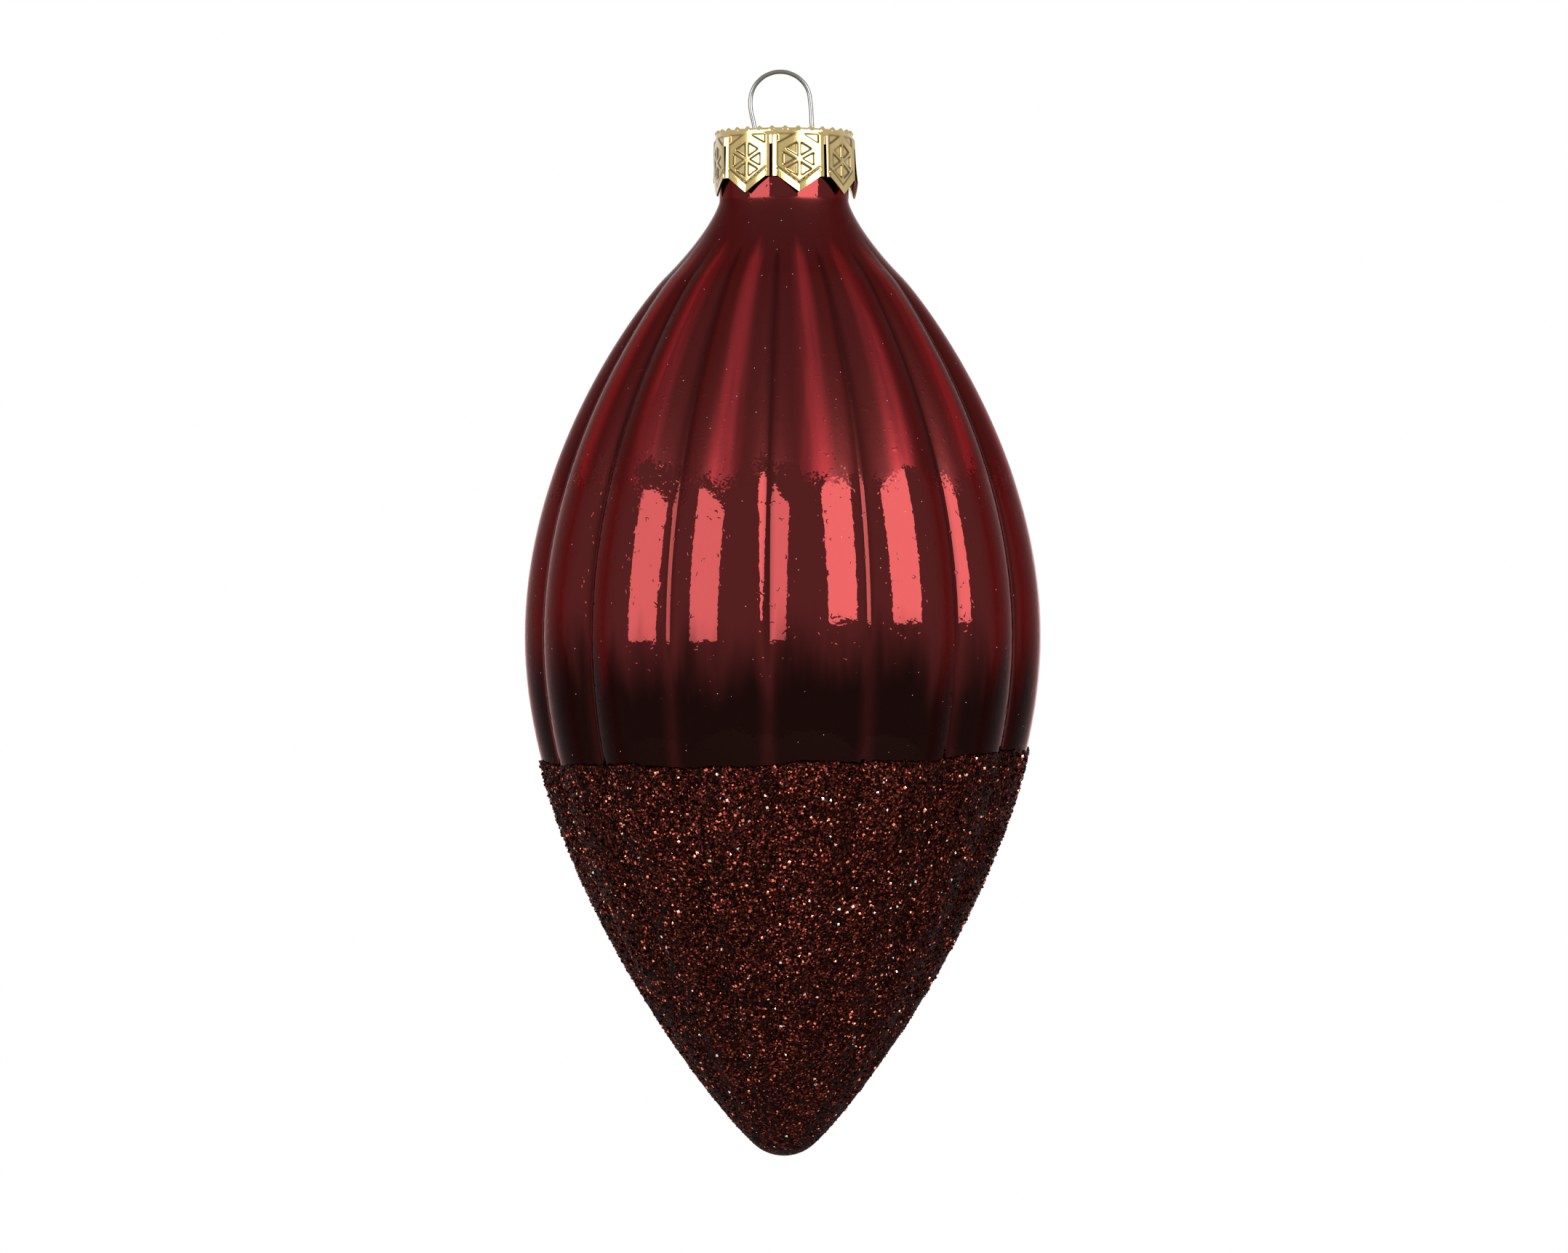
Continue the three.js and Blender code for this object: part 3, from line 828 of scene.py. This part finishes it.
def heap_of_grains(placements, tones):
    """One mesh of eight-sided grains: the first is doubled until there are enough, and each
    copy is then laid in its place and given its tone."""
    heap = bmesh.new()
    tone_layer = heap.verts.layers.float.new(TONE)
    bmesh.ops.create_uvsphere(heap, u_segments=4, v_segments=2, radius=0.5)
    doublings = math.ceil(math.log2(len(placements)))
    for _ in range(doublings):
        bmesh.ops.duplicate(heap, geom=[*heap.verts, *heap.edges, *heap.faces])
    grains = separate_grains(heap)
    for placement, tone, grain in zip(placements, tones, grains):
        for vert in grain:
            vert.co = placement @ vert.co
            vert[tone_layer] = tone
    spare = [vert for grain in grains[len(placements):] for vert in grain]
    bmesh.ops.delete(heap, geom=spare, context="VERTS")
    return heap


def separate_grains(heap):
    """The corners of each grain, found along the edges that join them."""
    grains = []
    found = set()
    for first in heap.verts:
        if first in found:
            continue
        found.add(first)
        grain = [first]
        for vert in grain:
            for edge in vert.link_edges:
                other = edge.other_vert(vert)
                if other not in found:
                    found.add(other)
                    grain.append(other)
        grains.append(grain)
    return grains


SIXTH_TURN = math.pi / 3
FLAKE_DEPTH = 4.2 * MM
FLAKE_RADIUS = 2.15 * MM
FLAKE_SPOKE = 0.36 * MM
FLAKE_ROUNDING = 0.1 * MM
HEXAGON_APOTHEM = 2.88 * MM
CORNER_BAND = 0.24 * MM
CORNER_TOP = 0.75 * MM
CORNER_ROUNDING = 0.08 * MM
PANEL_HALF = 2.8 * MM
RIB_PLACE = 3.25 * MM
RIB_WIDTH = 0.2 * MM
# Painted shade at the foot of the ribs and along the cells' walls.
RIB_SHADE = 0.7
CELL_WALL = 0.17 * MM
WALL_SHADE_WIDTH = 0.13 * MM
GROOVE_WIDTH = 0.12 * MM
GROOVE_DEPTH = 0.07 * MM
LIP_RISE = 0.16 * MM
KNURLS_PER_PANEL = 4
STEPS_PER_PANEL = 64


def bump_at(value, middle, width):
    """1 at the middle of a rounded bump, and nearly 0 beyond twice its width."""
    return math.exp(-((value - middle) / width) ** 2)


def flake_cell(across, down):
    """How far inside one of the flake's six rounded triangles a point lies."""
    middle = round(math.atan2(down, across) / SIXTH_TURN) * SIXTH_TURN
    along = across * math.cos(middle) + down * math.sin(middle)
    aside = abs(down * math.cos(middle) - across * math.sin(middle))
    half_turn = SIXTH_TURN / 2
    flank = along * math.sin(half_turn) - aside * math.cos(half_turn) - FLAKE_SPOKE / 2
    return soft_min(flank, FLAKE_RADIUS - along, FLAKE_ROUNDING)


def corner_cell(side, down):
    """How far inside a triangular cell beside the rim, over the hexagon's shoulder, a point is."""
    out = side * math.cos(SIXTH_TURN) - (down - FLAKE_DEPTH) * math.sin(SIXTH_TURN)
    over = out - HEXAGON_APOTHEM - CORNER_BAND
    upper = soft_min(over, down - CORNER_TOP, CORNER_ROUNDING)
    return soft_min(upper, PANEL_HALF - side, CORNER_ROUNDING)


def panel_relief(cap, side, edge, cell):
    """The height of the stamping at a place on a panel: to the side of its middle, in from the
    edge of its pointed end, and inside a cell."""
    relief = cap.rib * bump_at(side, RIB_PLACE, RIB_WIDTH)
    relief -= cap.relief * smooth(0.0, CELL_WALL, cell)
    if side < PANEL_HALF:
        relief -= GROOVE_DEPTH * bump_at(edge, cap.lip, GROOVE_WIDTH)
        relief += LIP_RISE * max(0.0, 1 - edge / cap.lip)
    return relief


def panel_relief_shade(cap, side, edge, cell):
    """How much painted shade the same place gets: it keeps to the cells' walls, the lip's
    groove and the foot of the ribs, where the stamping's relief is shaded."""
    walls = bump_at(cell, CELL_WALL / 2, WALL_SHADE_WIDTH)
    groove = bump_at(edge, cap.lip, GROOVE_WIDTH) if side < PANEL_HALF else 0.0
    foot = RIB_SHADE * bump_at(side, PANEL_HALF, RIB_WIDTH / 2)
    return max(walls, groove, foot)


def panel_bends(cap):
    """How far each panel's point is bent out of line, as handling leaves them."""
    bends = [0.0] * cap.panels
    bends[2] = 0.25 * MM
    bends[-2] = -0.3 * MM
    bends[-1] = -0.05 * MM
    return bends


def cap_heights(cap, top):
    """The heights of the plate's middle, of the skirt's top and of its end between the points."""
    return top - cap.sheet / 2, top - cap.rim_roll, top - cap.height + cap.point


class BAUBLE_OT_crown_cap(bpy.types.Operator):
    """Stamp the crown cap: snowflake panels with pointed ends, slits, ribs and a knurled rim"""

    bl_idname = "bauble.crown_cap"
    bl_label = "Crown cap"

    def execute(self, context):
        cap = context.scene.bauble_cap
        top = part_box("crown_cap")[1].z - cap.knurl
        mesh = self.turn_sheet(cap, top)
        self.stamp(mesh, cap, top)
        self.cut_slits(mesh, cap, top)
        self.fill_plate(mesh, cap, top)
        weld(mesh)
        gilt = material_of(gilt_plating, context.scene.bauble_finishes)
        piece = finish_piece(
            mesh, "stamped_crown", [gilt], "cap", "crown_cap", closed=False,
        )
        wall = piece.modifiers.new("sheet", "SOLIDIFY")
        wall.thickness = cap.sheet
        wall.offset = -1.0
        piece.data = applied(context, piece)
        piece.modifiers.clear()
        sharpen(piece.data)
        return {"FINISHED"}

    def turn_sheet(self, cap, top):
        """The plain sheet: the raised rim and the straight skirt, turned as one surface."""
        plate, skirt_top, skirt_end = cap_heights(cap, top)
        roll_steps, skirt_rows = 6, 72
        profile = [(cap.radius - cap.rim_width, plate)]
        for i in range(roll_steps + 1):
            turn = math.pi / 2 * i / roll_steps
            profile.append((
                cap.radius - cap.rim_roll * (1 - math.sin(turn)),
                top - cap.rim_roll * (1 - math.cos(turn)),
            ))
        for i in range(1, skirt_rows + 1):
            height = skirt_top + (skirt_end - skirt_top) * i / skirt_rows
            profile.append((cap.radius, height))
        return turn_profile(profile, cap.panels * STEPS_PER_PANEL, cap.panel_azimuth)

    def stamp(self, mesh, cap, top):
        """Presses the knurls, the flattened pointed panels and their relief into the sheet."""
        plate, skirt_top, skirt_end = cap_heights(cap, top)
        plain_share, flatness, fold = 0.12, 0.4, 0.295
        bends = panel_bends(cap)
        recess = mesh.verts.layers.float.new(RECESS)
        for vert in mesh.verts:
            azimuth = azimuth_of(vert.co)
            radius = math.hypot(vert.co.x, vert.co.y)
            height = vert.co.z
            if height > skirt_top - WELD and abs(height - plate) > WELD:
                knurl = place_in_pattern(azimuth, cap.panels * KNURLS_PER_PANEL, cap.panel_azimuth)
                bump = cap.knurl * max(0.0, math.cos(math.tau * knurl)) ** 2
                bump *= smooth(skirt_top, top, height) if radius > cap.radius - WELD else 1.0
                vert.co = around(radius + bump / 2, azimuth, height + bump)
                continue
            if height > skirt_top:
                continue
            share = (skirt_top - height) / (skirt_top - skirt_end)
            place = place_in_pattern(azimuth, cap.panels, cap.panel_azimuth)
            turned = place * math.tau / cap.panels
            across = math.sin(turned) * cap.radius
            side = abs(across)
            point = cap.point * max(0.0, 1 - side / PANEL_HALF)
            lowered = share * share * point
            down = top - height + lowered
            end = cap.height - cap.point + point
            edge = (end - down) * math.cos(math.atan(cap.point / PANEL_HALF))
            cell = max(flake_cell(across, down - FLAKE_DEPTH), corner_cell(side, down))
            shaped = smooth(0.0, plain_share, share)
            flattened = flatness * (1 / math.cos(min(abs(turned), fold)) - 1) * radius
            panel = round((azimuth - cap.panel_azimuth) * cap.panels / math.tau) % cap.panels
            out = cap.flare * share + bends[panel] * share * share
            relief = panel_relief(cap, side, edge, cell)
            # Painted shade along the stamping's recesses, kept for the gilt's colour.
            vert[recess] = shaped * panel_relief_shade(cap, side, edge, cell)
            vert.co = around(radius + out + shaped * (flattened + relief), azimuth, height - lowered)

    def cut_slits(self, mesh, cap, top):
        """Takes out the sheet between neighbouring panels."""
        half = cap.slit / 2
        slit_top = top - cap.slit_start
        gone = []
        for face in mesh.faces:
            middle = face.calc_center_median()
            place = place_in_pattern(azimuth_of(middle), cap.panels, cap.panel_azimuth)
            aside = (0.5 - abs(place)) * math.tau / cap.panels * cap.radius
            if aside < half and middle.z < slit_top:
                gone.append(face)
        bmesh.ops.delete(mesh, geom=gone, context="FACES")

    def fill_plate(self, mesh, cap, top):
        """Closes the top with a plate round the two hanger slots."""
        plate = cap_heights(cap, top)[0]
        near = 10 * WELD
        inner = cap.radius - cap.rim_width + near
        loop = [
            edge for edge in mesh.edges
            if edge.is_boundary and all(
                abs(vert.co.z - plate) < near and math.hypot(vert.co.x, vert.co.y) < inner
                for vert in edge.verts
            )
        ]
        for side in (-1, 1):
            loop += self.slot_outline(mesh, cap, side * cap.slot_spacing / 2, plate)
        filled = bmesh.ops.triangle_fill(mesh, use_beauty=True, use_dissolve=False, edges=loop)
        if not any(isinstance(item, bmesh.types.BMFace) for item in filled["geom"]):
            raise RuntimeError("the cap's plate was left open")

    def slot_outline(self, mesh, cap, middle, height):
        """The round-ended outline of one hanger slot, as a ring of edges."""
        half = cap.slot_width / 2
        reach = cap.slot_length / 2 - half
        steps = 10
        points = []
        for end in (1, -1):
            for i in range(steps + 1):
                turn = math.pi * (i / steps - 0.5)
                across = middle + end * (reach + half * math.cos(turn))
                points.append(mesh.verts.new((across, end * half * math.sin(turn), height)))
        return [mesh.edges.new(pair) for pair in zip(points, points[1:] + points[:1])]


class BAUBLE_OT_hanger_wire(bpy.types.Operator):
    """Bend the spring wire: a loop over the cap and two bowed legs inside the neck"""

    bl_idname = "bauble.hanger_wire"
    bl_label = "Hanger wire"

    def execute(self, context):
        wire = context.scene.bauble_wire
        curve = bpy.data.curves.new("hanger_route", "CURVE")
        curve.dimensions = "3D"
        curve.bevel_depth = wire.diameter / 2
        curve.bevel_resolution = 4
        curve.resolution_u = 10
        curve.use_fill_caps = True
        spline = curve.splines.new("BEZIER")
        route = self.route(context)
        spline.bezier_points.add(len(route) - 1)
        for knot, (across, height) in zip(spline.bezier_points, route):
            knot.co = (across, 0, height)
            knot.handle_left_type = "AUTO"
            knot.handle_right_type = "AUTO"
        holder = add_object("hanger_route", curve)
        mesh = bmesh.new()
        mesh.from_mesh(applied(context, holder))
        bpy.data.objects.remove(holder)
        weld(mesh)
        steel = material_of(drawn_wire, context.scene.bauble_finishes)
        piece = finish_piece(mesh, "spring_hanger", [steel], "hanger", "hanger_wire")
        sharpen(piece.data)
        return {"FINISHED"}

    def route(self, context):
        """The wire's middle line, from one leg's end over the loop to the other's."""
        wire = context.scene.bauble_wire
        bulb = context.scene.bauble_bulb
        cap = context.scene.bauble_cap
        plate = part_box("crown_cap")[1].z - cap.knurl - cap.sheet / 2
        wire_radius = wire.diameter / 2
        bow = bulb.neck_radius - bulb.neck_wall - wire.clearance - wire_radius
        slot = cap.slot_spacing / 2
        leg = [
            (bow - wire.turn_in, plate - wire.leg_length),
            (bow - wire.turn_in / 3, plate - (wire.leg_length + wire.bow_depth) / 2),
            (bow, plate - wire.bow_depth),
            ((slot + bow) / 2, plate - wire.bow_depth / 2),
            (slot, plate - cap.sheet),
        ]
        radius = wire.loop_half_width - wire.loop_lean / 2
        middle = wire_radius - radius
        steps = 8
        loop = []
        for i in range(steps + 1):
            turn = math.pi * (1 - i / steps)
            across = radius * math.cos(turn) - wire.loop_lean
            loop.append((across, middle + radius * math.sin(turn)))
        left = [(-across, height) for across, height in leg]
        return left + loop + list(reversed(leg))


class BAUBLE_OT_studio(bpy.types.Operator):
    """Set the camera, the two soft boxes, the white surroundings and the floor"""

    bl_idname = "bauble.studio"
    bl_label = "Studio"

    def execute(self, context):
        studio = context.scene.bauble_studio
        self.set_camera(context, studio)
        # Azimuth and elevation in degrees, width and height in metres, radiance
        self.soft_box(studio, "left_box", (-44.5, 15), (0.67, 0.58), studio.left_strength)
        self.soft_box(studio, "right_box", (44, 19.5), (0.69, 0.58), studio.right_strength)
        self.surroundings(context, studio)
        self.floor(studio)
        context.scene.view_settings.view_transform = "Standard"
        return {"FINISHED"}

    def set_camera(self, context, studio):
        """A level camera in front of the bauble, at the photograph's scale."""
        data = bpy.data.cameras.new("camera")
        data.sensor_width = 36.0
        focal_px = studio.scale / MM * studio.distance
        data.lens = data.sensor_width * focal_px / PHOTO_WIDTH_PX
        data.clip_start = 0.01
        camera = add_object("camera", data)
        camera.location = (0, -studio.distance, studio.centre_height)
        camera.rotation_euler = (math.radians(90), 0, 0)
        context.scene.camera = camera

    def soft_box(self, studio, name, direction, size, radiance):
        """A rectangular soft box one metre off, facing the bauble."""
        data = bpy.data.lights.new(name, "AREA")
        data.shape = "RECTANGLE"
        data.size, data.size_y = size
        data.energy = radiance * math.pi * size[0] * size[1]
        azimuth, elevation = map(math.radians, direction)
        away = around(math.cos(elevation), azimuth, math.sin(elevation))
        lamp = add_object(name, data)
        lamp.location = Vector((0, 0, studio.centre_height)) + away
        lamp.rotation_euler = away.to_track_quat("Z", "Y").to_euler()
        lamp.visible_camera = False

    def surroundings(self, context, studio):
        """The same white for the camera, for reflections and through glass, and a soft fill
        for everything that is lit."""
        world = bpy.data.worlds.new("surroundings")
        add = node_adder(world)
        strength = add("Math", {0: seen_directly(add), 1: studio.fill}, operation="MAXIMUM")
        glow = add("Background", {"Color": WHITE, "Strength": strength})
        add("OutputWorld", {"Surface": glow})
        context.scene.world = world

    def floor(self, studio):
        """A round pale board under the hanging bauble, which takes its shadow."""
        mesh = bmesh.new()
        bmesh.ops.create_circle(mesh, cap_ends=True, segments=128, radius=studio.floor_radius)
        bmesh.ops.translate(mesh, verts=mesh.verts, vec=(0, 0, -studio.floor_depth))
        board = mesh_object(mesh, "floor", [material_of(pale_board)])


class BAUBLE_PT_sidebar(bpy.types.Panel):
    """Lists the bauble's sizes, finishes and pieces"""

    bl_idname = "BAUBLE_PT_sidebar"
    bl_label = "Glass bauble"
    bl_space_type = "VIEW_3D"
    bl_region_type = "UI"
    bl_category = "Bauble"

    def draw(self, context):
        layout = self.layout
        for attribute in SETTINGS:
            group = getattr(context.scene, attribute)
            box = layout.box()
            for name in group.__annotations__:
                box.prop(group, name)
        for operator in OPERATORS:
            layout.operator(operator.bl_idname)


SETTINGS = {
    "bauble_bulb": BulbSizes,
    "bauble_glitter": GlitterSizes,
    "bauble_cap": CapSizes,
    "bauble_wire": WireSizes,
    "bauble_finishes": Finishes,
    "bauble_studio": StudioSettings,
}
OPERATORS = (
    BAUBLE_OT_glass_bulb,
    BAUBLE_OT_glitter_coat,
    BAUBLE_OT_crown_cap,
    BAUBLE_OT_hanger_wire,
    BAUBLE_OT_studio,
)


def register():
    for attribute, group in SETTINGS.items():
        bpy.utils.register_class(group)
        setattr(bpy.types.Scene, attribute, PointerProperty(type=group))
    for item in (*OPERATORS, BAUBLE_PT_sidebar):
        bpy.utils.register_class(item)


def unregister():
    for item in (BAUBLE_PT_sidebar, *reversed(OPERATORS)):
        bpy.utils.unregister_class(item)
    for attribute, group in reversed(SETTINGS.items()):
        delattr(bpy.types.Scene, attribute)
        bpy.utils.unregister_class(group)


def main():
    register()
    bpy.ops.bauble.glass_bulb()
    bpy.ops.bauble.glitter_coat()
    bpy.ops.bauble.crown_cap()
    bpy.ops.bauble.hanger_wire()
    bpy.ops.bauble.studio()


if __name__ == "__main__":
    main()
